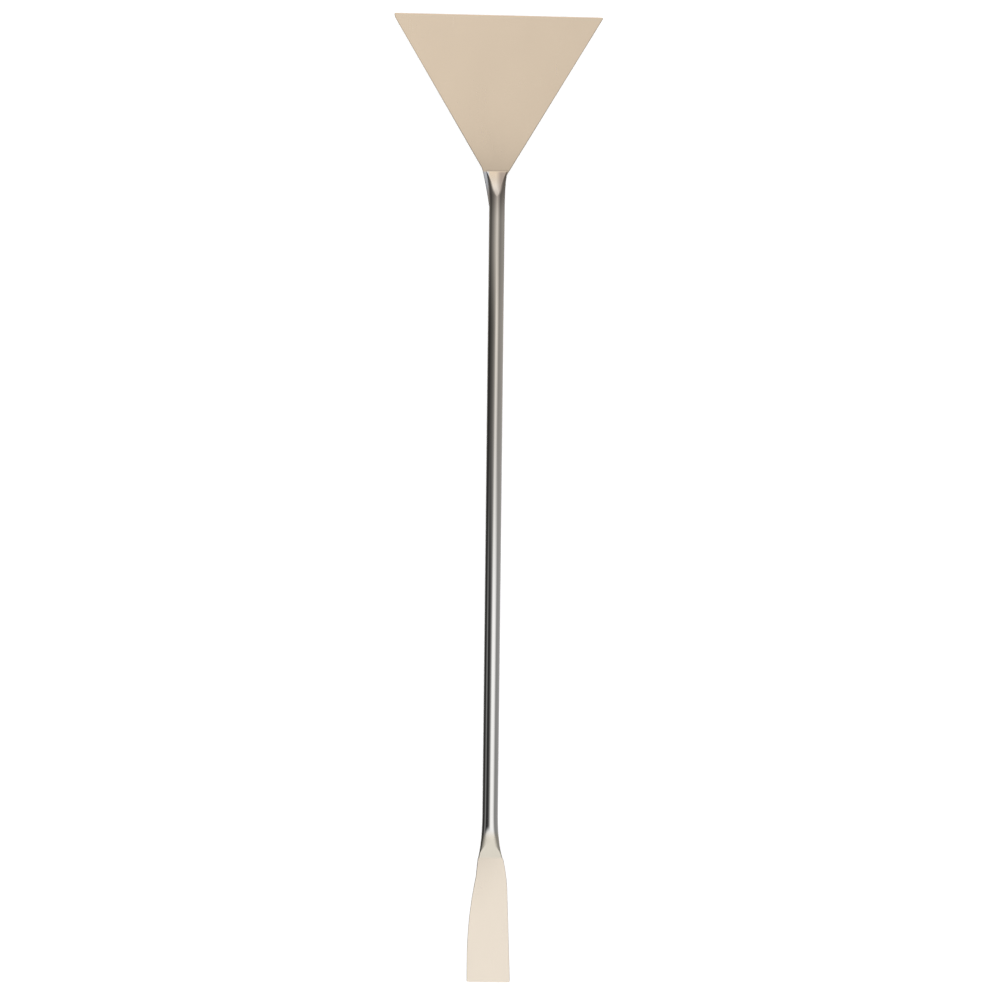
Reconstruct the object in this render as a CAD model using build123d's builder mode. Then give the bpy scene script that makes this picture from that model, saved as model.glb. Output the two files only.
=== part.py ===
"""Double-ended laboratory spatula: a fan blade, a round rod and a narrow flared blade.

The spatula lies on a surface.  +Y runs along the rod towards the fan blade and +Z is up.
The origin is on the surface, below the middle of the spatula.  Sizes are in millimetres.
"""

import os
from math import cos, radians, sin, tan

from build123d import *

# Overall
overall_length = 300.0  # end to end along the rod's axis
rod_diameter = 4.85
blade_drop = 0.68  # both blades lie this far below the rod's axis, nearer to its underside

# Fan blade
fan_length = 48.3  # from its end to the crease, where the neck's ramp begins
fan_end_width = 65.6
fan_thickness = 1.4
fan_shift = -0.3  # the fan's middle line stands this far beside the rod's axis
fan_end_skew = 0.8  # the left corner reaches this much farther out than the right one
fan_clip_end = 0.5  # the left corner is clipped by this much of the end
fan_clip_side = 1.6  # and by this much of the side

# Neck of the fan blade
fan_ramp_length = 10.0  # the rod's top and underside curve in to the crease over this length
fan_neck_flare = 1.6  # at the crease the fan is this much wider than the rod on each side
fan_pressed_length = 12.0  # the round rod spreads over this length
fan_pressed_flare = 1.15  # by this much on each side, where it ends inside the blade
fan_web_length = 15.3  # a thin web runs down the left side of the neck
fan_web_sink = 0.5  # its foot lies this deep in the rod's side
fan_web_angle = 6.0  # it leaves the rod at this angle, in degrees
fan_web_rise = 0.7  # and runs into the fan's side this far past the crease
fan_web_round = 3.0  # radius in the corner between the web and the fan's side

# Narrow blade
narrow_length = 38.4  # from its end to the foot of the arch
narrow_end_width = 13.4
narrow_thickness = 1.4
narrow_left_straight = 8.0  # the left side runs straight, then curves in to a shoulder
narrow_shoulder_length = 5.8  # the left shoulder is this far from the arch's foot
narrow_shoulder_flare = 1.8  # and stands this far outside the rod's side
narrow_right_lean = 1.1  # the right side leans in by this much, then curves in to the neck
narrow_right_curve = 10.3  # over this length, up to the arch's foot
narrow_neck_flare = 1.5  # at the arch's foot the blade is this much wider on each side

# Neck of the narrow blade
narrow_pressed_length = 16.0  # the round rod spreads to the blade's neck over this length
narrow_ramp_angle = 27.0  # slope of the two ramps that cut the pointed arches, in degrees
narrow_ramp_round = 5.0  # radius between each ramp and the blade's flat
narrow_neck_shift = 0.25  # the pressed neck stands this far beside the rod's axis

# Finish
edge_round = 0.2  # round the rims of both blades
corner_round = 0.3  # at the corners of the blades' ends

# How the pieces are drawn and joined
neck_sections = 10  # in each loft from the round rod to a blade
neck_overlap = 0.5  # each loft ends this far inside its blade
spread_power = 3  # the rod spreads slowly at first, then faster
profile_gap = 0.04  # the side profile stands this far clear of the round rod
fan_buried_edges = 2  # edges of each face that the neck hides, which stay sharp
narrow_buried_edges = 3

# Places that follow from the sizes above
rod_radius = rod_diameter / 2
fan_end = overall_length / 2
fan_crease = fan_end - fan_length
narrow_end = -overall_length / 2
narrow_foot = narrow_end + narrow_length
buried = rod_radius / 2  # half width of what each blade hides inside its neck

blade_plane = Plane.XY.offset(rod_radius - blade_drop)
side_view = Plane(origin=(0, 0, rod_radius), x_dir=(0, 1, 0), z_dir=(1, 0, 0))


def across(station):
    """Return the plane square to the rod's axis at a station along it, with +Z up."""
    return Plane(origin=(0, station, rod_radius), x_dir=(1, 0, 0), z_dir=(0, -1, 0))


def spread(step):
    """Return the share of a neck's whole spread that a section has reached."""
    return (step / (neck_sections - 1)) ** spread_power


# Round rod with its two pressed necks.  Their oval sections keep the round rod's area
# and sink to the blades' level.
with BuildPart() as shaft:
    fan_press_start = fan_crease - fan_pressed_length
    narrow_press_start = narrow_foot + narrow_pressed_length
    with BuildSketch(across(fan_press_start)):
        Circle(rod_radius)
    extrude(amount=fan_press_start - narrow_press_start)

    fan_step = (fan_pressed_length + neck_overlap) / (neck_sections - 1)
    for step in range(neck_sections):
        with BuildSketch(across(fan_press_start + step * fan_step)):
            with Locations((fan_shift * spread(step), -blade_drop * spread(step))):
                half_width = rod_radius + fan_pressed_flare * spread(step)
                Ellipse(half_width, rod_radius**2 / half_width)
    loft()

    narrow_step = (narrow_pressed_length + neck_overlap) / (neck_sections - 1)
    for step in range(neck_sections):
        with BuildSketch(across(narrow_press_start - step * narrow_step)):
            with Locations((narrow_neck_shift * spread(step), -blade_drop * spread(step))):
                half_width = rod_radius + narrow_neck_flare * spread(step)
                Ellipse(half_width, rod_radius**2 / half_width)
    loft()

    # Side profile: straight ramps at the narrow blade, curved ones at the fan
    with BuildSketch(side_view):
        with BuildLine():
            for side in (1, -1):
                narrow_face = side * narrow_thickness / 2 - blade_drop
                fan_face = side * fan_thickness / 2 - blade_drop
                rod_side = side * (rod_radius + profile_gap)
                Polyline((narrow_end, -blade_drop), (narrow_end, narrow_face), (narrow_foot, narrow_face))
                slope = side * narrow_ramp_angle
                toe = JernArc((narrow_foot, narrow_face), (1, 0), narrow_ramp_round, slope)
                rise = rod_side - (toe @ 1).Y
                run = abs(rise) / tan(radians(narrow_ramp_angle))
                ramp = Line(toe @ 1, toe @ 1 + Vector(run, rise))
                crown = Line(ramp @ 1, (fan_crease - fan_ramp_length, rod_side))
                TangentArc(crown @ 1, (fan_crease, fan_face), tangent=(1, 0))
                Polyline((fan_crease, fan_face), (fan_end, fan_face), (fan_end, -blade_drop))
        make_face()
    extrude(amount=fan_end_width, both=True, mode=Mode.INTERSECT)

# Fan blade with the web along the left of its neck
with BuildPart() as fan_blade:
    half_neck = rod_radius + fan_neck_flare
    half_end = fan_end_width / 2
    side_slope = (half_end - half_neck) / fan_length
    right_reach = (half_neck + fan_shift - buried) / side_slope
    web_foot = (fan_web_sink - rod_radius, fan_crease - fan_web_length)
    web_head = (fan_shift - half_neck - fan_web_rise * side_slope, fan_crease + fan_web_rise)
    left_corner = (fan_shift - half_end, fan_end + fan_end_skew / 2)
    right_corner = (fan_shift + half_end, fan_end - fan_end_skew / 2)
    with BuildSketch(blade_plane) as fan_outline:
        with BuildLine():
            Polyline(
                web_head,
                left_corner,
                right_corner,
                (buried, fan_crease - right_reach),
                (-buried, fan_crease - fan_web_length),
                web_foot,
            )
            web_tangent = (-sin(radians(fan_web_angle)), cos(radians(fan_web_angle)))
            TangentArc(web_foot, web_head, tangent=web_tangent)
        make_face()
        chamfer(
            fan_outline.vertices().sort_by(Axis.Y)[-1],
            length=fan_clip_side,
            length2=fan_clip_end,
        )
        fillet(fan_outline.vertices().sort_by(Axis.Y)[-3:], radius=corner_round)
        fillet(fan_outline.vertices().sort_by_distance(Vector(web_head))[0], radius=fan_web_round)
    extrude(amount=fan_thickness / 2, both=True)
    rims = fan_blade.faces().filter_by(Axis.Z).edges().sort_by(Axis.Y)
    fillet(rims[2 * fan_buried_edges :], radius=edge_round)

# Narrow blade
with BuildPart() as narrow_blade:
    half_neck = rod_radius + narrow_neck_flare
    half_end = narrow_end_width / 2
    left_shoulder = (-rod_radius - narrow_shoulder_flare, narrow_foot - narrow_shoulder_length)
    left_foot = (narrow_neck_shift - half_neck, narrow_foot)
    right_foot = (narrow_neck_shift + half_neck, narrow_foot)
    with BuildSketch(blade_plane) as narrow_outline:
        with BuildLine():
            Line((-half_end, narrow_end), (half_end, narrow_end))
            right_side = Line(
                (half_end, narrow_end),
                (half_end - narrow_right_lean, narrow_foot - narrow_right_curve),
            )
            TangentArc(right_side @ 1, right_foot, tangent=right_side % 1)
            Polyline(
                right_foot,
                (buried, narrow_foot + rod_radius),
                (-buried, narrow_foot + rod_radius),
                left_foot,
                left_shoulder,
            )
            left_side = Line((-half_end, narrow_end), (-half_end, narrow_end + narrow_left_straight))
            TangentArc(left_side @ 1, left_shoulder, tangent=left_side % 1)
        make_face()
        fillet(narrow_outline.vertices().sort_by(Axis.Y)[:2], radius=corner_round)
    extrude(amount=narrow_thickness / 2, both=True)
    rims = narrow_blade.faces().filter_by(Axis.Z).edges().sort_by(Axis.Y)
    fillet(rims[: -2 * narrow_buried_edges], radius=edge_round)

# The three are one piece of steel
with BuildPart() as spatula:
    add(shaft.part)
    add(fan_blade.part)
    add(narrow_blade.part)

spatula.part.label = "spatula"
os.makedirs("parts", exist_ok=True)
export_step(spatula.part, "parts/spatula.step")
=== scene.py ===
"""Looks of the lab spatula: one piece of steel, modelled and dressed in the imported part's frame.

Lengths are in metres.  +Y runs along the rod towards the fan blade, +Z is up, and the
spatula lies on the plane z = 0.
"""

from __future__ import annotations

import logging
import math
from collections.abc import Callable
from dataclasses import dataclass
from enum import Enum

import bpy
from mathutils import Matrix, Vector

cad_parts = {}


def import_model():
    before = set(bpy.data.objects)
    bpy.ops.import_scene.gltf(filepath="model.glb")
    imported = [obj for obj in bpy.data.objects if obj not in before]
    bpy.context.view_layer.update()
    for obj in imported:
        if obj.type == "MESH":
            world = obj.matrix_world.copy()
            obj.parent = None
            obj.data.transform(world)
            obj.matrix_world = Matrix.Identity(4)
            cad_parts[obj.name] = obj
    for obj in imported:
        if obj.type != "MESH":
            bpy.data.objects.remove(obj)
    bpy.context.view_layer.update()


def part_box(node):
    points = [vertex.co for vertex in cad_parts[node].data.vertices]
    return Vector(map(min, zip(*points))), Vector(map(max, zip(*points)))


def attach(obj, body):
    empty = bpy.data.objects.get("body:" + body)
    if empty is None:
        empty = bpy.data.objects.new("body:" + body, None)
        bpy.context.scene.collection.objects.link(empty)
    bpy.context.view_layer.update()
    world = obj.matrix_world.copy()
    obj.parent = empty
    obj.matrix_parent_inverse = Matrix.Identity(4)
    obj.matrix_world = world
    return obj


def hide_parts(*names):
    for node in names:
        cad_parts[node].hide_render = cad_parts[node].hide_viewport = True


LOG = logging.getLogger("lab_spatula")
MM = 0.001

Point = tuple[float, float]
Colour = tuple[float, float, float]


class Side(Enum):
    """The two faces of a blade, as signs along +Z."""

    TOP = 1
    BOTTOM = -1


class Join(Enum):
    """How a tool piece is combined with a workpiece."""

    UNION = "UNION"
    INTERSECT = "INTERSECT"


# ---------------------------------------------------------------- sizes


@dataclass(frozen=True)
class FanSizes:
    """Plan of the fan blade and its neck, in metres."""

    length: float = 48.3 * MM
    end_width: float = 65.6 * MM
    thickness: float = 1.4 * MM
    shift: float = -0.3 * MM
    end_skew: float = 0.8 * MM
    clip_end: float = 0.5 * MM
    clip_side: float = 1.6 * MM
    ramp_length: float = 10.0 * MM
    neck_flare: float = 1.6 * MM
    pressed_length: float = 12.0 * MM
    pressed_flare: float = 1.15 * MM
    web_length: float = 15.3 * MM
    web_sink: float = 0.5 * MM
    web_angle: float = math.radians(6.0)
    web_rise: float = 0.7 * MM


@dataclass(frozen=True)
class NarrowSizes:
    """Plan of the narrow blade and its neck, in metres."""

    length: float = 38.4 * MM
    end_width: float = 13.4 * MM
    thickness: float = 1.4 * MM
    left_straight: float = 8.0 * MM
    shoulder_length: float = 5.8 * MM
    shoulder_flare: float = 1.8 * MM
    right_lean: float = 1.1 * MM
    right_curve: float = 10.3 * MM
    neck_flare: float = 1.5 * MM
    pressed_length: float = 16.0 * MM
    ramp_angle: float = math.radians(27.0)
    ramp_round: float = 5.0 * MM
    neck_shift: float = 0.25 * MM


@dataclass(frozen=True)
class ShaftSizes:
    """The rod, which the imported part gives, and how finely the necks are drawn."""

    radius: float
    length: float
    blade_drop: float = 0.68 * MM
    edge_round: float = 0.2 * MM
    corner_round: float = 0.3 * MM
    overlap: float = 0.5 * MM
    profile_gap: float = 0.04 * MM
    spread_power: int = 3
    smooth_angle: float = math.radians(13.0)
    rim_segments: int = 8
    ring_points: int = 128
    neck_rings: int = 22
    arc_steps: int = 14

    @property
    def blade_level(self) -> float:
        """Height of the blades' middle plane."""
        return self.radius - self.blade_drop


# ---------------------------------------------------------------- drawing by hand


def tangent_arc(start: Point, tangent: Point, end: Point, steps: int) -> list[Point]:
    """Work out points along the arc that leaves one point along a tangent and ends at another.

    Args:
        start: Where the arc begins.
        tangent: Direction in which it leaves.
        end: Where it ends.
        steps: Number of chords.

    Returns:
        The arc's points from start to end, both included.
    """
    origin = Vector(start)
    along = Vector(tangent).normalized()
    chord = Vector(end) - origin
    normal = Vector((-along.y, along.x))
    if chord.dot(normal) < 0:
        normal.negate()
    radius = chord.length_squared / (2 * chord.dot(normal))
    turn = 2 * math.atan2(chord.dot(normal), chord.dot(along))
    points = []
    for step in range(steps + 1):
        angle = turn * step / steps
        point = origin + along * radius * math.sin(angle) + normal * radius * (1 - math.cos(angle))
        points.append((point.x, point.y))
    return points


def rounded_corner(before: Point, corner: Point, after: Point, radius: float) -> list[Point]:
    """Work out the small arc that rounds a corner of an outline.

    Args:
        before: The outline's point before the corner.
        corner: The corner itself.
        after: The outline's point after the corner.
        radius: Radius of the rounding.

    Returns:
        The arc's points, which stand in for the corner.
    """
    tip = Vector(corner)
    back = (Vector(before) - tip).normalized()
    onward = (Vector(after) - tip).normalized()
    reach = radius / math.tan(back.angle(onward) / 2)
    start = tip + back * reach
    end = tip + onward * reach
    return tangent_arc((start.x, start.y), (-back.x, -back.y), (end.x, end.y), 6)


def select_only(piece: bpy.types.Object) -> None:
    """Make one object the only selected and active one.

    Args:
        piece: The object to work on.
    """
    bpy.ops.object.select_all(action="DESELECT")
    piece.select_set(True)
    bpy.context.view_layer.objects.active = piece


def draw_face(name: str, points: list[Vector]) -> bpy.types.Object:
    """Draw a closed outline point after point and fill it with one face.

    Args:
        name: Name of the new object.
        points: Corners of the outline, in order.

    Returns:
        The new object, with its origin at the world's.
    """
    bpy.ops.object.select_all(action="DESELECT")
    bpy.ops.mesh.primitive_plane_add(size=MM, location=points[0])
    piece = bpy.context.active_object
    piece.name = name
    bpy.ops.object.transform_apply(location=True, rotation=True, scale=True)
    bpy.ops.object.mode_set(mode="EDIT")
    bpy.ops.mesh.select_mode(type="VERT")
    bpy.ops.mesh.select_all(action="SELECT")
    bpy.ops.mesh.merge(type="CENTER")
    last = points[0]
    for point in [*points[1:], points[0]]:
        bpy.ops.mesh.extrude_vertices_move(TRANSFORM_OT_translate={"value": point - last})
        last = point
    bpy.ops.mesh.select_all(action="SELECT")
    bpy.ops.mesh.remove_doubles(threshold=0.001 * MM)
    bpy.ops.mesh.select_all(action="SELECT")
    bpy.ops.mesh.edge_face_add()
    bpy.ops.object.mode_set(mode="OBJECT")
    return piece


def extrude_face(piece: bpy.types.Object, reach: Vector) -> None:
    """Extrude a drawn face into a closed solid.

    Args:
        piece: Object that holds the face.
        reach: How far and which way the face is pulled.
    """
    select_only(piece)
    bpy.ops.object.mode_set(mode="EDIT")
    bpy.ops.mesh.select_all(action="SELECT")
    bpy.ops.mesh.extrude_region_move(TRANSFORM_OT_translate={"value": reach})
    bpy.ops.mesh.select_all(action="SELECT")
    bpy.ops.mesh.normals_make_consistent(inside=False)
    bpy.ops.object.mode_set(mode="OBJECT")


def select_edges(piece: bpy.types.Object, wanted: Callable[[Vector, Vector], bool]) -> None:
    """Select the edges whose two ends pass a test of place, and leave the piece in edit mode.

    Args:
        piece: Object whose edges are chosen.
        wanted: Test on the places of an edge's two ends.
    """
    select_only(piece)
    bpy.ops.object.mode_set(mode="EDIT")
    bpy.ops.mesh.select_mode(type="EDGE")
    bpy.ops.mesh.select_all(action="DESELECT")
    bpy.ops.object.mode_set(mode="OBJECT")
    corners = piece.data.vertices
    for edge in piece.data.edges:
        first, second = edge.vertices
        edge.select = wanted(corners[first].co, corners[second].co)
    bpy.ops.object.mode_set(mode="EDIT")


def combine(piece: bpy.types.Object, tool: bpy.types.Object, how: Join) -> None:
    """Combine a tool piece with a workpiece and take the tool away.

    Args:
        piece: The workpiece, which is changed.
        tool: The other solid, which is removed.
        how: Whether the two are joined or only what they share is kept.
    """
    select_only(piece)
    bpy.ops.object.modifier_add(type="BOOLEAN")
    modifier = piece.modifiers[-1]
    modifier.operation = how.value
    modifier.solver = "EXACT"
    modifier.object = tool
    bpy.ops.object.modifier_apply(modifier=modifier.name)
    bpy.data.objects.remove(tool)


# ---------------------------------------------------------------- node helpers


class Sheet:
    """A node tree that is filled one node at a time."""

    def __init__(self, tree: bpy.types.NodeTree) -> None:
        """Start on a tree.

        Args:
            tree: The material's, world's or group's node tree.
        """
        self.tree = tree

    def node(self, kind: str, **settings: object) -> bpy.types.Node:
        """Add a node and set its own properties.

        Args:
            kind: The node's type name.
            settings: Properties of the node.

        Returns:
            The new node.
        """
        made = self.tree.nodes.new(kind)
        for name, value in settings.items():
            setattr(made, name, value)
        return made

    def link(self, source: bpy.types.NodeSocket, target: bpy.types.NodeSocket) -> None:
        """Join an output to an input.

        Args:
            source: Output socket.
            target: Input socket.
        """
        self.tree.links.new(source, target)

    def maths(
        self,
        operation: str,
        first: object,
        second: object = None,
        third: object = None,
    ) -> bpy.types.NodeSocket:
        """Add a maths node.

        Args:
            operation: Name of the operation.
            first: Socket or number.
            second: Socket or number, if the operation takes two.
            third: Socket or number, if the operation takes three.

        Returns:
            The result's socket.
        """
        made = self.node("ShaderNodeMath", operation=operation)
        for place, value in enumerate((first, second, third)):
            if isinstance(value, bpy.types.NodeSocket):
                self.link(value, made.inputs[place])
            elif value is not None:
                made.inputs[place].default_value = value
        return made.outputs[0]

    def smooth_step(self, value: bpy.types.NodeSocket, start: float, end: float) -> bpy.types.NodeSocket:
        """Ease a value from 0 at start to 1 at end.

        Args:
            value: The socket to ease.
            start: Where the result is 0.
            end: Where the result is 1.

        Returns:
            The eased value's socket.
        """
        made = self.node("ShaderNodeMapRange", interpolation_type="SMOOTHSTEP")
        self.link(value, made.inputs["Value"])
        made.inputs["From Min"].default_value = min(start, end)
        made.inputs["From Max"].default_value = max(start, end)
        made.inputs["To Min"].default_value = 0.0 if start < end else 1.0
        made.inputs["To Max"].default_value = 1.0 if start < end else 0.0
        return made.outputs["Result"]

    def mix(self, share: object, first: object, second: object, blend: str = "MIX") -> bpy.types.NodeSocket:
        """Mix two colours.

        Args:
            share: Socket or number, 0 for the first colour.
            first: Socket or colour.
            second: Socket or colour.
            blend: Blend type.

        Returns:
            The mixed colour's socket.
        """
        made = self.node("ShaderNodeMix", data_type="RGBA", blend_type=blend)
        for place, value in ((0, share), (6, first), (7, second)):
            if isinstance(value, bpy.types.NodeSocket):
                self.link(value, made.inputs[place])
            elif isinstance(value, tuple):
                made.inputs[place].default_value = (*value, 1.0)
            else:
                made.inputs[place].default_value = value
        return made.outputs[2]


# ---------------------------------------------------------------- effects


def new_group(name: str, outputs: tuple[tuple[str, str], ...]) -> tuple[Sheet, bpy.types.Node]:
    """Start a shader node group.

    Args:
        name: The group's name.
        outputs: Name and socket type of each output.

    Returns:
        The group's sheet and its output node.
    """
    tree = bpy.data.node_groups.new(name, "ShaderNodeTree")
    for label, kind in outputs:
        tree.interface.new_socket(label, in_out="OUTPUT", socket_type=kind)
    sheet = Sheet(tree)
    return sheet, sheet.node("NodeGroupOutput")


def stretched_noise(sheet: Sheet, stretch: Colour, scale: float, detail: float) -> bpy.types.NodeSocket:
    """Add noise in object coordinates, stretched along the axes.

    Args:
        sheet: The tree to add to.
        stretch: Factor on each coordinate; a small one draws the noise out along that axis.
        scale: Scale of the noise, per metre.
        detail: Number of octaves.

    Returns:
        The noise value's socket.
    """
    place = sheet.node("ShaderNodeTexCoord")
    mapping = sheet.node("ShaderNodeMapping")
    mapping.inputs["Scale"].default_value = stretch
    noise = sheet.node("ShaderNodeTexNoise")
    noise.inputs["Scale"].default_value = scale
    noise.inputs["Detail"].default_value = detail
    sheet.link(place.outputs["Object"], mapping.inputs["Vector"])
    sheet.link(mapping.outputs["Vector"], noise.inputs["Vector"])
    return noise.outputs["Fac"]


def handling_marks() -> bpy.types.NodeTree:
    """Build the group of faint clouding that handling and wiping leave on steel.

    Returns:
        The group; Clouds is a value about 1 and Smudges a value from 0 to 1.
    """
    sheet, out = new_group("handling_marks", (("Clouds", "NodeSocketFloat"), ("Smudges", "NodeSocketFloat")))
    clouds = stretched_noise(sheet, (1.0, 0.7, 1.0), 90.0, 3.0)
    shade = sheet.maths("MULTIPLY_ADD", clouds, 0.06, 0.97)
    sheet.link(shade, out.inputs["Clouds"])
    smears = stretched_noise(sheet, (1.0, 0.35, 1.0), 160.0, 4.0)
    sheet.link(sheet.smooth_step(smears, 0.5, 0.75), out.inputs["Smudges"])
    return sheet.tree


def grinding_lines() -> bpy.types.NodeTree:
    """Build the group of hair-fine lines left by grinding along and across the steel.

    Returns:
        The group; Height feeds a bump and Lines is a value from 0 to 1.
    """
    sheet, out = new_group("grinding_lines", (("Height", "NodeSocketFloat"), ("Lines", "NodeSocketFloat")))
    lengthways = stretched_noise(sheet, (1.0, 0.03, 1.0), 3200.0, 2.0)
    crossways = stretched_noise(sheet, (0.05, 1.0, 1.0), 2100.0, 2.0)
    both = sheet.maths("ADD", lengthways, sheet.maths("MULTIPLY", crossways, 0.5))
    sheet.link(both, out.inputs["Height"])
    sheet.link(sheet.smooth_step(both, 0.85, 1.1), out.inputs["Lines"])
    return sheet.tree


def neck_painted_light(crease: float) -> bpy.types.NodeTree:
    """Build the group of masks where shade and reflection are painted round the pressed and ground neck of
    the fan blade.

    Args:
        crease: Station where the fan blade begins.

    Returns:
        The group; Flank (painted shade on the right flank and throat), Web (painted reflection on the left
        web) and Crease (painted shade along the crease) are values from 0 to 1.
    """
    names = ("Flank", "Web", "Crease")
    sheet, out = new_group("neck_painted_light", tuple((name, "NodeSocketFloat") for name in names))
    place = sheet.node("ShaderNodeTexCoord")
    split = sheet.node("ShaderNodeSeparateXYZ")
    sheet.link(place.outputs["Object"], split.inputs[0])
    across = split.outputs["X"]
    station = split.outputs["Y"]
    below_crease = sheet.smooth_step(station, crease + 0.2 * MM, crease - 0.8 * MM)
    from_rod = sheet.smooth_step(station, crease - 16 * MM, crease - 5 * MM)
    # Flank: painted shade on the neck's right side and in its throat before the ramp.
    on_right = sheet.smooth_step(across, -0.6 * MM, 1.3 * MM)
    flank = sheet.maths("MULTIPLY", sheet.maths("MULTIPLY", on_right, from_rod), below_crease)
    before_ramp = sheet.smooth_step(station, crease - 4 * MM, crease - 8 * MM)
    throat = sheet.maths("MULTIPLY", from_rod, before_ramp)
    both = sheet.maths("MAXIMUM", sheet.maths("MULTIPLY", flank, 0.78), sheet.maths("MULTIPLY", throat, 0.6))
    sheet.link(both, out.inputs["Flank"])
    # Web: painted reflection on the web along the left of the neck.
    on_left = sheet.smooth_step(across, -2.3 * MM, -2.9 * MM)
    web = sheet.maths("MULTIPLY", sheet.maths("MULTIPLY", on_left, from_rod), below_crease)
    sheet.link(web, out.inputs["Web"])
    # Crease: a thin painted shade line along the crease.
    off_crease = sheet.maths("ABSOLUTE", sheet.maths("SUBTRACT", station, crease))
    on_line = sheet.smooth_step(off_crease, 0.45 * MM, 0.05 * MM)
    beside_rod = sheet.smooth_step(sheet.maths("ABSOLUTE", across), 3.9 * MM, 3.0 * MM)
    line = sheet.maths("MULTIPLY", sheet.maths("MULTIPLY", on_line, beside_rod), 0.35)
    sheet.link(line, out.inputs["Crease"])
    return sheet.tree


# ---------------------------------------------------------------- finishes


@dataclass(frozen=True)
class SteelFinish:
    """How one region of the steel is finished."""

    colour: Colour
    roughness: float
    grind_height: float


@dataclass(frozen=True)
class SteelLook:
    """The whole piece's steel: a polished rod and satin blades, with painted warm reflection on the blades
    and the rod's fan end, and painted shade and painted reflection round the necks.
    """

    polished: SteelFinish = SteelFinish((0.80, 0.79, 0.77), 0.06, 0.10)
    # Painted warm reflection, which the rod takes on towards the fan.
    rod_painted_warm_reflection: Colour = (0.86, 0.79, 0.70)
    # Finish of the blades; its beige colour is partly painted warm reflection and painted shade, darker than
    # on the narrow blade.
    satin_and_warm_reflection: SteelFinish = SteelFinish((0.675, 0.555, 0.425), 0.24, 0.30)
    # Painted warm reflection on the narrow blade, lighter than on the fan blade.
    narrow_blade_painted_reflection: Colour = (0.835, 0.745, 0.633)
    # Painted shade for the line along the fan's crease and for hollows.
    crease_painted_shade: Colour = (0.30, 0.25, 0.20)
    # Painted shade on the arch-shaped ramp of the narrow neck.
    arch_painted_shade: Colour = (0.70, 0.655, 0.565)
    # Painted shade on the right flank and throat of the fan's neck.
    neck_painted_shade: Colour = (0.30, 0.24, 0.21)
    # Painted reflection, cool grey, on the web along the left of the fan's neck.
    web_painted_reflection: Colour = (0.58, 0.59, 0.62)
    crease_reach: float = 0.9 * MM
    smudge_roughness: float = 0.03
    line_roughness: float = 0.04
    bump_height: float = 0.002 * MM
    blend_length: float = 7.0 * MM
    polish_past_foot: float = 9.0 * MM
    satin_past_foot: float = 5.0 * MM

    def material(self, fan_crease: float, narrow_foot: float) -> bpy.types.Material:
        """Build the steel.

        Args:
            fan_crease: Station along the rod where the fan blade begins.
            narrow_foot: Station along the rod where the narrow blade begins.

        Returns:
            The material.
        """
        made = bpy.data.materials.new("stainless_steel")
        made.use_nodes = True
        sheet = Sheet(made.node_tree)
        shader = made.node_tree.nodes["Principled BSDF"]
        shader.inputs["Metallic"].default_value = 1.0

        place = sheet.node("ShaderNodeTexCoord")
        split = sheet.node("ShaderNodeSeparateXYZ")
        sheet.link(place.outputs["Object"], split.inputs[0])
        station = split.outputs["Y"]
        on_fan = sheet.smooth_step(station, fan_crease - self.blend_length, fan_crease)
        polished_from = narrow_foot + self.polish_past_foot
        satin_up_to = narrow_foot + self.satin_past_foot
        on_narrow = sheet.smooth_step(station, polished_from, satin_up_to)
        on_blade = sheet.maths("MAXIMUM", on_fan, on_narrow)

        marks = sheet.node("ShaderNodeGroup", node_tree=handling_marks())
        lines = sheet.node("ShaderNodeGroup", node_tree=grinding_lines())

        # Painted warm reflection: the rod's steel turns warmer towards the fan.
        towards_fan = sheet.smooth_step(station, -40 * MM, 70 * MM)
        on_rod = sheet.mix(towards_fan, self.polished.colour, self.rod_painted_warm_reflection)
        # Painted reflection and shade: the fan blade takes a darker beige, the narrow blade a paler one.
        with_fan = sheet.mix(on_fan, on_rod, self.satin_and_warm_reflection.colour)
        base = sheet.mix(on_narrow, with_fan, self.narrow_blade_painted_reflection)
        # Painted shade on the arch-shaped ramp where the narrow blade meets the rod.
        past_foot = sheet.smooth_step(station, narrow_foot - 0.4 * MM, narrow_foot + 0.8 * MM)
        arch_shade_mask = sheet.maths("MULTIPLY", past_foot, on_narrow)
        arch_shaded = sheet.mix(arch_shade_mask, base, self.arch_painted_shade)
        clouded = sheet.node("ShaderNodeVectorMath", operation="SCALE")
        sheet.link(arch_shaded, clouded.inputs[0])
        sheet.link(marks.outputs["Clouds"], clouded.inputs["Scale"])
        # Painted reflection on the web and painted shade on the flank, throat and crease of the fan's neck.
        neck = sheet.node("ShaderNodeGroup", node_tree=neck_painted_light(fan_crease))
        webbed = sheet.mix(neck.outputs["Web"], clouded.outputs[0], self.web_painted_reflection)
        shaded = sheet.mix(neck.outputs["Flank"], webbed, self.neck_painted_shade)
        creased = sheet.mix(neck.outputs["Crease"], shaded, self.crease_painted_shade)
        # Painted shade in hollows and creases, found by ambient occlusion.
        hollow = sheet.node("ShaderNodeAmbientOcclusion", samples=8, only_local=True)
        hollow.inputs["Distance"].default_value = self.crease_reach
        open_share = sheet.smooth_step(hollow.outputs["AO"], 0.35, 0.9)
        steel = sheet.mix(open_share, self.crease_painted_shade, creased)
        sheet.link(steel, shader.inputs["Base Color"])

        roughness = sheet.node("ShaderNodeMapRange")
        sheet.link(on_blade, roughness.inputs["Value"])
        roughness.inputs["To Min"].default_value = self.polished.roughness
        roughness.inputs["To Max"].default_value = self.satin_and_warm_reflection.roughness
        smudges = sheet.maths("MULTIPLY", marks.outputs["Smudges"], self.smudge_roughness)
        smudged = sheet.maths("ADD", roughness.outputs[0], smudges)
        ground = sheet.maths("MULTIPLY", lines.outputs["Lines"], self.line_roughness)
        lined = sheet.maths("ADD", smudged, ground)
        sheet.link(lined, shader.inputs["Roughness"])

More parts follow.
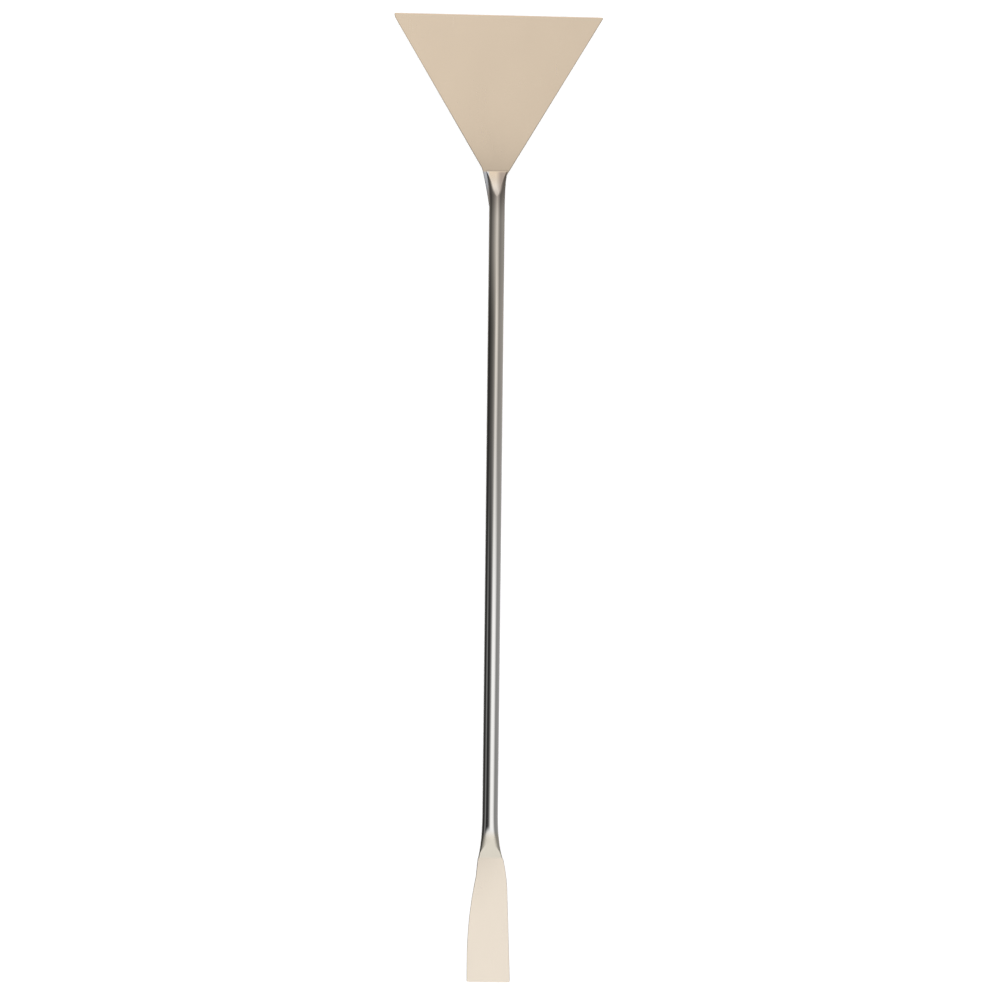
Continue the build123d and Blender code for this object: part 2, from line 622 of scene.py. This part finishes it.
        strength = sheet.node("ShaderNodeMapRange")
        sheet.link(on_blade, strength.inputs["Value"])
        strength.inputs["To Min"].default_value = self.polished.grind_height
        strength.inputs["To Max"].default_value = self.satin_and_warm_reflection.grind_height
        bump = sheet.node("ShaderNodeBump")
        bump.inputs["Distance"].default_value = self.bump_height
        sheet.link(strength.outputs[0], bump.inputs["Strength"])
        sheet.link(lines.outputs["Height"], bump.inputs["Height"])
        sheet.link(bump.outputs["Normal"], shader.inputs["Normal"])
        return made


# ---------------------------------------------------------------- the spatula


@dataclass
class Spatula:
    """The one piece of steel, built from its rod, two necks and two blades."""

    shaft: ShaftSizes
    fan: FanSizes
    narrow: NarrowSizes
    look: SteelLook

    @property
    def fan_end(self) -> float:
        """Station of the fan blade's end."""
        return self.shaft.length / 2

    @property
    def fan_crease(self) -> float:
        """Station where the fan blade begins."""
        return self.fan_end - self.fan.length

    @property
    def narrow_end(self) -> float:
        """Station of the narrow blade's end."""
        return -self.shaft.length / 2

    @property
    def narrow_foot(self) -> float:
        """Station where the narrow blade begins."""
        return self.narrow_end + self.narrow.length

    def sections(self) -> list[tuple[float, float, float, float]]:
        """Work out the rod's sections from the narrow blade to the fan.

        Returns:
            Station, shift to the right, drop and half width of each oval section.
        """
        count = self.shaft.neck_rings
        radius = self.shaft.radius
        made = []
        press_start = self.narrow_foot + self.narrow.pressed_length
        reach = self.narrow.pressed_length + self.shaft.overlap
        for step in range(count, -1, -1):
            spread = (step / count) ** self.shaft.spread_power
            half_width = radius + self.narrow.neck_flare * spread
            drop = self.shaft.blade_drop * spread
            station = press_start - reach * step / count
            made.append((station, self.narrow.neck_shift * spread, drop, half_width))
        press_start = self.fan_crease - self.fan.pressed_length
        reach = self.fan.pressed_length + self.shaft.overlap
        for step in range(count + 1):
            spread = (step / count) ** self.shaft.spread_power
            half_width = radius + self.fan.pressed_flare * spread
            drop = self.shaft.blade_drop * spread
            station = press_start + reach * step / count
            made.append((station, self.fan.shift * spread, drop, half_width))
        return made

    def build_rod(self) -> bpy.types.Object:
        """Draw the rod ring by ring; each oval ring keeps the round rod's area.

        Returns:
            The rod with its two spread necks.
        """
        radius = self.shaft.radius
        bpy.ops.object.select_all(action="DESELECT")
        station, shift, drop, half_width = self.sections()[0]
        bpy.ops.mesh.primitive_circle_add(
            vertices=self.shaft.ring_points,
            radius=radius,
            fill_type="NGON",
            location=(shift, station, radius - drop),
            rotation=(math.pi / 2, 0, 0),
        )
        rod = bpy.context.active_object
        rod.name = "spatula_steel"
        bpy.ops.object.transform_apply(location=True, rotation=True, scale=True)
        bpy.ops.object.mode_set(mode="EDIT")
        bpy.ops.mesh.select_mode(type="FACE")
        bpy.ops.mesh.select_all(action="SELECT")
        middle = Vector((shift, station, radius - drop))
        bpy.ops.transform.resize(value=(half_width / radius, 1, radius / half_width), center_override=middle)
        for next_station, next_shift, next_drop, next_half_width in self.sections()[1:]:
            next_middle = Vector((next_shift, next_station, radius - next_drop))
            bpy.ops.mesh.extrude_region_move(TRANSFORM_OT_translate={"value": next_middle - middle})
            wider = next_half_width / half_width
            bpy.ops.transform.resize(value=(wider, 1, 1 / wider), center_override=next_middle)
            middle = next_middle
            half_width = next_half_width
        bpy.ops.mesh.select_all(action="SELECT")
        bpy.ops.mesh.normals_make_consistent(inside=False)
        bpy.ops.object.mode_set(mode="OBJECT")
        return rod

    def half_profile(self, side: Side) -> list[Point]:
        """Work out one side of the profile that cuts the ramps down to the blades.

        Args:
            side: Top or bottom of the spatula.

        Returns:
            Station and height of each point, from the narrow blade to the fan.
        """
        sign = side.value
        axis = self.shaft.radius
        beyond = 2 * MM
        narrow_face = self.shaft.blade_level + sign * self.narrow.thickness / 2
        fan_face = self.shaft.blade_level + sign * self.fan.thickness / 2
        rod_side = axis + sign * (self.shaft.radius + self.shaft.profile_gap)
        slope = self.narrow.ramp_angle
        toe_end = (
            self.narrow_foot + self.narrow.ramp_round * math.sin(slope),
            narrow_face + sign * self.narrow.ramp_round * (1 - math.cos(slope)),
        )
        toe = tangent_arc((self.narrow_foot, narrow_face), (1, 0), toe_end, self.shaft.arc_steps)
        crown_start = toe_end[0] + abs(rod_side - toe_end[1]) / math.tan(slope)
        shoulder = (self.fan_crease - self.fan.ramp_length, rod_side)
        ramp = tangent_arc(shoulder, (1, 0), (self.fan_crease, fan_face), 2 * self.shaft.arc_steps)
        return [
            (self.narrow_foot - beyond, narrow_face),
            *toe,
            (crown_start, rod_side),
            *ramp,
            (self.fan_crease + beyond, fan_face),
        ]

    def build_profile(self) -> bpy.types.Object:
        """Draw the side profile as a slab as wide as the necks.

        Returns:
            The slab, which the rod is cut down to.
        """
        half_slab = 4 * self.shaft.radius
        outline = [*self.half_profile(Side.TOP), *reversed(self.half_profile(Side.BOTTOM))]
        slab = draw_face("side_profile", [Vector((-half_slab, y, z)) for y, z in outline])
        extrude_face(slab, Vector((2 * half_slab, 0, 0)))
        return slab

    def build_blade(self, name: str, outline: list[Point], thickness: float) -> bpy.types.Object:
        """Make a flat blade with rounded rims from its plan.

        Args:
            name: Name of the object.
            outline: Plan of the blade, in order.
            thickness: Thickness of the blade.

        Returns:
            The blade.
        """
        bottom = self.shaft.blade_level - thickness / 2
        blade = draw_face(name, [Vector((x, y, bottom)) for x, y in outline])
        extrude_face(blade, Vector((0, 0, thickness)))
        nearly = 0.01 * MM
        select_edges(blade, lambda first, second: abs(first.z - second.z) < nearly)
        bpy.ops.mesh.bevel(
            offset=self.shaft.edge_round,
            segments=self.shaft.rim_segments,
            profile=0.5,
            clamp_overlap=False,
        )
        bpy.ops.object.mode_set(mode="OBJECT")
        return blade

    def fan_outline(self) -> list[Point]:
        """Work out the plan of the fan blade with the web along the left of its neck.

        Returns:
            The outline's points, in order.
        """
        fan = self.fan
        radius = self.shaft.radius
        buried = radius / 2
        half_neck = radius + fan.neck_flare
        half_end = fan.end_width / 2
        side_slope = (half_end - half_neck) / fan.length
        right_reach = (half_neck + fan.shift - buried) / side_slope
        web_foot = (fan.web_sink - radius, self.fan_crease - fan.web_length)
        web_head = (fan.shift - half_neck - fan.web_rise * side_slope, self.fan_crease + fan.web_rise)
        left = Vector((fan.shift - half_end, self.fan_end + fan.end_skew / 2))
        right = (fan.shift + half_end, self.fan_end - fan.end_skew / 2)
        clip_low = left + (Vector(web_head) - left).normalized() * fan.clip_side
        clip_high = left + (Vector(right) - left).normalized() * fan.clip_end
        right_root = (buried, self.fan_crease - right_reach)
        web_tangent = (-math.sin(fan.web_angle), math.cos(fan.web_angle))
        small = self.shaft.corner_round
        return [
            *tangent_arc(web_foot, web_tangent, web_head, self.shaft.arc_steps),
            *rounded_corner(web_head, tuple(clip_low), tuple(clip_high), small),
            *rounded_corner(tuple(clip_low), tuple(clip_high), right, small),
            *rounded_corner(tuple(clip_high), right, right_root, small),
            right_root,
            (-buried, self.fan_crease - fan.web_length),
        ]

    def narrow_outline(self) -> list[Point]:
        """Work out the plan of the narrow blade.

        Returns:
            The outline's points, in order.
        """
        narrow = self.narrow
        radius = self.shaft.radius
        buried = radius / 2
        half_neck = radius + narrow.neck_flare
        half_end = narrow.end_width / 2
        left_corner = (-half_end, self.narrow_end)
        right_corner = (half_end, self.narrow_end)
        left_shoulder = (-radius - narrow.shoulder_flare, self.narrow_foot - narrow.shoulder_length)
        right_bend = (half_end - narrow.right_lean, self.narrow_foot - narrow.right_curve)
        right_side = (right_bend[0] - right_corner[0], right_bend[1] - right_corner[1])
        left_bend = (-half_end, self.narrow_end + narrow.left_straight)
        right_foot = (narrow.neck_shift + half_neck, self.narrow_foot)
        small = self.shaft.corner_round
        return [
            *rounded_corner(left_bend, left_corner, right_corner, small),
            *rounded_corner(left_corner, right_corner, right_bend, small),
            *tangent_arc(right_bend, right_side, right_foot, self.shaft.arc_steps),
            (buried, self.narrow_foot + radius),
            (-buried, self.narrow_foot + radius),
            (narrow.neck_shift - half_neck, self.narrow_foot),
            *reversed(tangent_arc(left_bend, (0, 1), left_shoulder, self.shaft.arc_steps)),
        ]

    def build(self) -> bpy.types.Object:
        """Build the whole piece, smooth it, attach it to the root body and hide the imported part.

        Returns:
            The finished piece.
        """
        piece = self.build_rod()
        combine(piece, self.build_profile(), Join.INTERSECT)
        fan_blade = self.build_blade("fan_blade", self.fan_outline(), self.fan.thickness)
        combine(piece, fan_blade, Join.UNION)
        narrow_blade = self.build_blade("narrow_blade", self.narrow_outline(), self.narrow.thickness)
        combine(piece, narrow_blade, Join.UNION)
        select_only(piece)
        bpy.ops.object.shade_smooth_by_angle(angle=self.shaft.smooth_angle)
        bpy.ops.object.modifier_add(type="WEIGHTED_NORMAL")
        weighted = piece.modifiers[-1]
        weighted.keep_sharp = True
        bpy.ops.object.modifier_apply(modifier=weighted.name)
        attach(piece, "root")
        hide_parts("spatula")
        return piece

    def dress(self, piece: bpy.types.Object) -> None:
        """Give the piece its steel.

        Args:
            piece: The finished mesh.
        """
        piece.data.materials.clear()
        piece.data.materials.append(self.look.material(self.fan_crease, self.narrow_foot))


# ---------------------------------------------------------------- stage


@dataclass(frozen=True)
class Card:
    """A strip of the light sleeve: its angle from overhead, in degrees, and what it shows."""

    angle: float
    colour: Colour


def grey(brightness: float) -> Colour:
    """Return the neutral colour of a given brightness.

    Args:
        brightness: Linear brightness.

    Returns:
        The colour.
    """
    return (brightness, brightness, brightness)


@dataclass(frozen=True)
class Sleeve:
    """A sleeve of soft light and dark cards round the spatula, seen only in its reflections."""

    radius: float = 70 * MM
    half_length: float = 420 * MM

    def rod_cards(self) -> dict[str, list[Card]]:
        """List the cards along the two halves of the rod.

        Returns:
            The cards of each half, from the left round to the right.
        """
        near_narrow = [
            Card(-150, grey(0.40)),
            Card(-125, grey(0.03)),
            Card(-92, grey(0.03)),
            Card(-72, grey(0.27)),
            Card(-56, grey(0.02)),
            Card(-32, grey(0.04)),
            Card(-14, grey(0.22)),
            Card(8, grey(1.12)),
            Card(38, grey(1.08)),
            Card(64, grey(0.27)),
            Card(110, grey(0.32)),
            Card(150, grey(0.46)),
        ]
        near_fan = [
            Card(-150, grey(0.28)),
            Card(-120, grey(0.03)),
            Card(-92, grey(0.03)),
            Card(-70, grey(0.06)),
            Card(-48, grey(0.10)),
            Card(-28, grey(0.17)),
            Card(-10, grey(0.32)),
            Card(8, grey(0.84)),
            Card(24, grey(0.74)),
            Card(46, grey(0.28)),
            Card(100, grey(0.33)),
            Card(150, grey(0.45)),
        ]
        at_neck = [
            Card(-150, grey(0.35)),
            Card(-120, grey(0.12)),
            Card(-94, grey(0.07)),
            Card(-50, grey(0.23)),
            Card(-28, grey(0.37)),
            Card(6, grey(0.72)),
            Card(28, grey(0.42)),
            Card(48, grey(0.21)),
            Card(100, grey(0.31)),
            Card(150, grey(0.30)),
        ]
        return {"near_narrow": near_narrow, "near_fan": near_fan, "at_neck": at_neck}

    def blade_cards(self) -> dict[str, list[Card]]:
        """List the cards over the two blades: bright overhead and dark low at the sides.

        Returns:
            The cards over each blade, from the left round to the right.
        """
        dark = grey(0.12)
        over_fan = [
            Card(-110, dark),
            Card(-70, grey(0.58)),
            Card(-45, grey(1.06)),
            Card(40, grey(0.94)),
            Card(65, grey(0.45)),
            Card(100, dark),
        ]
        over_narrow = [
            Card(-110, dark),
            Card(-65, grey(0.56)),
            Card(-40, grey(1.0)),
            Card(40, grey(1.0)),
            Card(75, grey(0.65)),
            Card(115, grey(0.19)),
        ]
        return {"over_fan": over_fan, "over_narrow": over_narrow}

    def card_ramp(self, sheet: Sheet, turn: bpy.types.NodeSocket, cards: list[Card]) -> bpy.types.NodeSocket:
        """Turn a list of cards into a colour ramp round the sleeve.

        Args:
            sheet: The sleeve's node sheet.
            turn: Angle round the sleeve as a share of the whole turn.
            cards: The cards, in order.

        Returns:
            The ramp's colour socket.
        """
        ramp = sheet.node("ShaderNodeValToRGB")
        sheet.link(turn, ramp.inputs["Fac"])
        stops = ramp.color_ramp.elements
        while len(stops) < len(cards):
            stops.new(1.0)
        for stop, card in zip(stops, cards):
            stop.position = (card.angle + 180) / 360
            stop.color = (*card.colour, 1.0)
        return ramp.outputs["Color"]

    def material(self, spatula: Spatula) -> bpy.types.Material:
        """Build the sleeve's light, which changes round the sleeve and along it.

        Args:
            spatula: The piece that the sleeve goes round.

        Returns:
            The material.
        """
        made = bpy.data.materials.new("light_sleeve")
        made.use_nodes = True
        made.node_tree.nodes.clear()
        sheet = Sheet(made.node_tree)
        place = sheet.node("ShaderNodeTexCoord")
        split = sheet.node("ShaderNodeSeparateXYZ")
        sheet.link(place.outputs["Object"], split.inputs[0])
        angle = sheet.maths("ARCTAN2", split.outputs["X"], split.outputs["Z"])
        turn = sheet.maths("MULTIPLY_ADD", angle, 1 / math.tau, 0.5)
        station = split.outputs["Y"]

        rod = self.rod_cards()
        blades = self.blade_cards()
        narrow_rod = self.card_ramp(sheet, turn, rod["near_narrow"])
        fan_rod = self.card_ramp(sheet, turn, rod["near_fan"])
        neck_rod = self.card_ramp(sheet, turn, rod["at_neck"])
        past_middle = sheet.smooth_step(station, -45 * MM, 25 * MM)
        up_rod = sheet.mix(past_middle, narrow_rod, fan_rod)
        at_neck = sheet.smooth_step(station, 50 * MM, 82 * MM)
        along_rod = sheet.mix(at_neck, up_rod, neck_rod)
        over_fan = self.card_ramp(sheet, turn, blades["over_fan"])
        over_narrow = self.card_ramp(sheet, turn, blades["over_narrow"])
        crease = spatula.fan_crease
        foot = spatula.narrow_foot
        past_crease = sheet.smooth_step(station, crease - 2 * MM, crease + 6 * MM)
        with_fan = sheet.mix(past_crease, along_rod, over_fan)
        past_foot = sheet.smooth_step(station, foot + 4 * MM, foot - 4 * MM)
        with_both = sheet.mix(past_foot, with_fan, over_narrow)
        fan_end = spatula.fan_end
        beyond_fan = sheet.smooth_step(station, fan_end + 10 * MM, fan_end + 30 * MM)
        with_top = sheet.mix(beyond_fan, with_both, grey(1.15))
        narrow_end = spatula.narrow_end
        beyond_narrow = sheet.smooth_step(station, narrow_end - 10 * MM, narrow_end - 30 * MM)
        cards = sheet.mix(beyond_narrow, with_top, grey(1.0))

        path = sheet.node("ShaderNodeLightPath")
        shown = sheet.mix(path.outputs["Is Diffuse Ray"], cards, (1.0, 1.0, 1.0))
        light = sheet.node("ShaderNodeEmission")
        out = sheet.node("ShaderNodeOutputMaterial")
        sheet.link(shown, light.inputs["Color"])
        sheet.link(light.outputs[0], out.inputs["Surface"])
        return made

    def build(self, spatula: Spatula) -> bpy.types.Object:
        """Put the sleeve round the spatula, hidden from the camera.

        Args:
            spatula: The piece that the sleeve goes round.

        Returns:
            The sleeve.
        """
        bpy.ops.object.select_all(action="DESELECT")
        bpy.ops.mesh.primitive_cylinder_add(
            vertices=96,
            radius=self.radius,
            depth=2 * self.half_length,
            location=(0, 0, 0),
            rotation=(math.pi / 2, 0, 0),
        )
        sleeve = bpy.context.active_object
        sleeve.name = "light_sleeve"
        bpy.ops.object.transform_apply(location=True, rotation=True, scale=True)
        sleeve.location.z = spatula.shaft.radius
        sleeve.visible_camera = False
        sleeve.visible_shadow = False
        sleeve.data.materials.append(self.material(spatula))
        return sleeve


def build_floor() -> bpy.types.Object:
    """Lay the white floor, which keeps the spatula's soft shadow.

    Returns:
        The floor.
    """
    bpy.ops.object.select_all(action="DESELECT")
    bpy.ops.mesh.primitive_plane_add(size=3.0, location=(0, 0, 0))
    floor = bpy.context.active_object
    floor.name = "floor"
    floor.visible_glossy = False
    made = bpy.data.materials.new("white_floor")
    made.use_nodes = True
    shader = made.node_tree.nodes["Principled BSDF"]
    shader.inputs["Base Color"].default_value = (0.9, 0.9, 0.9, 1.0)
    shader.inputs["Roughness"].default_value = 1.0
    shader.inputs["Specular IOR Level"].default_value = 0.0
    shader.inputs["Emission Color"].default_value = (1.0, 1.0, 1.0, 1.0)
    shader.inputs["Emission Strength"].default_value = 0.5
    floor.data.materials.append(made)
    return floor


def build_world() -> None:
    """Make the surroundings plain white."""
    world = bpy.data.worlds.new("plain_white")
    world.use_nodes = True
    background = world.node_tree.nodes["Background"]
    background.inputs["Color"].default_value = (1.0, 1.0, 1.0, 1.0)
    background.inputs["Strength"].default_value = 1.0
    bpy.context.scene.world = world


def build_camera() -> None:
    """Look straight down on the spatula, turned a little, with no perspective."""
    bpy.ops.object.camera_add(location=(1.97 * MM, -0.41 * MM, 0.6), rotation=(0, 0, 0.01138))
    camera = bpy.context.active_object
    camera.name = "camera"
    camera.data.type = "ORTHO"
    camera.data.ortho_scale = 310.25 * MM
    camera.data.clip_end = 10.0
    bpy.context.scene.camera = camera


def main() -> None:
    """Build the spatula, its stage, its light and its camera."""
    logging.basicConfig(level=logging.INFO, format="%(name)s: %(message)s")
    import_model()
    low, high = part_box("spatula")
    shaft = ShaftSizes(radius=high.z / 2, length=-2 * low.y)
    spatula = Spatula(shaft, FanSizes(), NarrowSizes(), SteelLook())
    piece = spatula.build()
    spatula.dress(piece)
    LOG.info("%s has %d faces", piece.name, len(piece.data.polygons))
    Sleeve().build(spatula)
    build_floor()
    build_world()
    build_camera()
    bpy.context.scene.view_settings.view_transform = "Standard"


if __name__ == "__main__":
    main()
